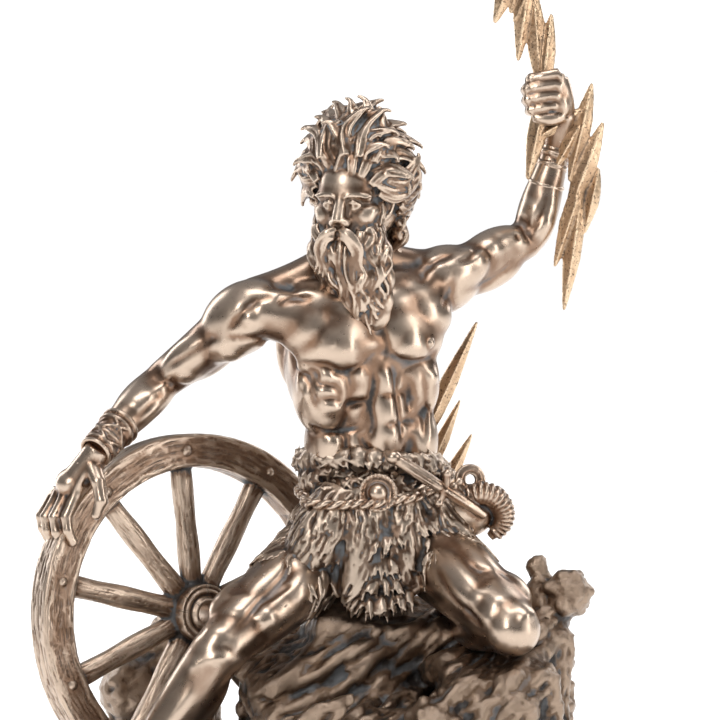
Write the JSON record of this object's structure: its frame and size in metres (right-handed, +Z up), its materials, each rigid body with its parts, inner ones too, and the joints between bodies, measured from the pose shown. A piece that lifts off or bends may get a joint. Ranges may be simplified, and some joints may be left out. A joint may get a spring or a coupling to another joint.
{
  "type": "storm god statue",
  "caption": "Bronze-finished tabletop statue of a bearded storm god kneeling on a rock, one hand on a cart wheel, the other raising a zigzag lightning bolt.",
  "frame": {"origin": "middle of the base's flat underside", "axes": "+Z up, +Y to the back of the statue, +X to the raised arm's side"},
  "size_m": [0.1641, 0.1189, 0.2702],
  "materials": {
    "rock_bronze": "aged dark bronze paint, worn bright on the ridges, grey-blue patina in the hollows",
    "figure_bronze": "polished aged bronze, bright on the muscles, dark in the creases",
    "wheel_bronze": "aged bronze with dark wood grain lines",
    "gold_bronze": "pale gold bronze, finely speckled dark"
  },
  "bodies": {
    "root": {"rocky_base": "rock_bronze", "figure": "figure_bronze", "wheel": "wheel_bronze", "lightning_bolt": "gold_bronze", "rear_lightning_bolt": "gold_bronze"}
  },
  "joints": []
}
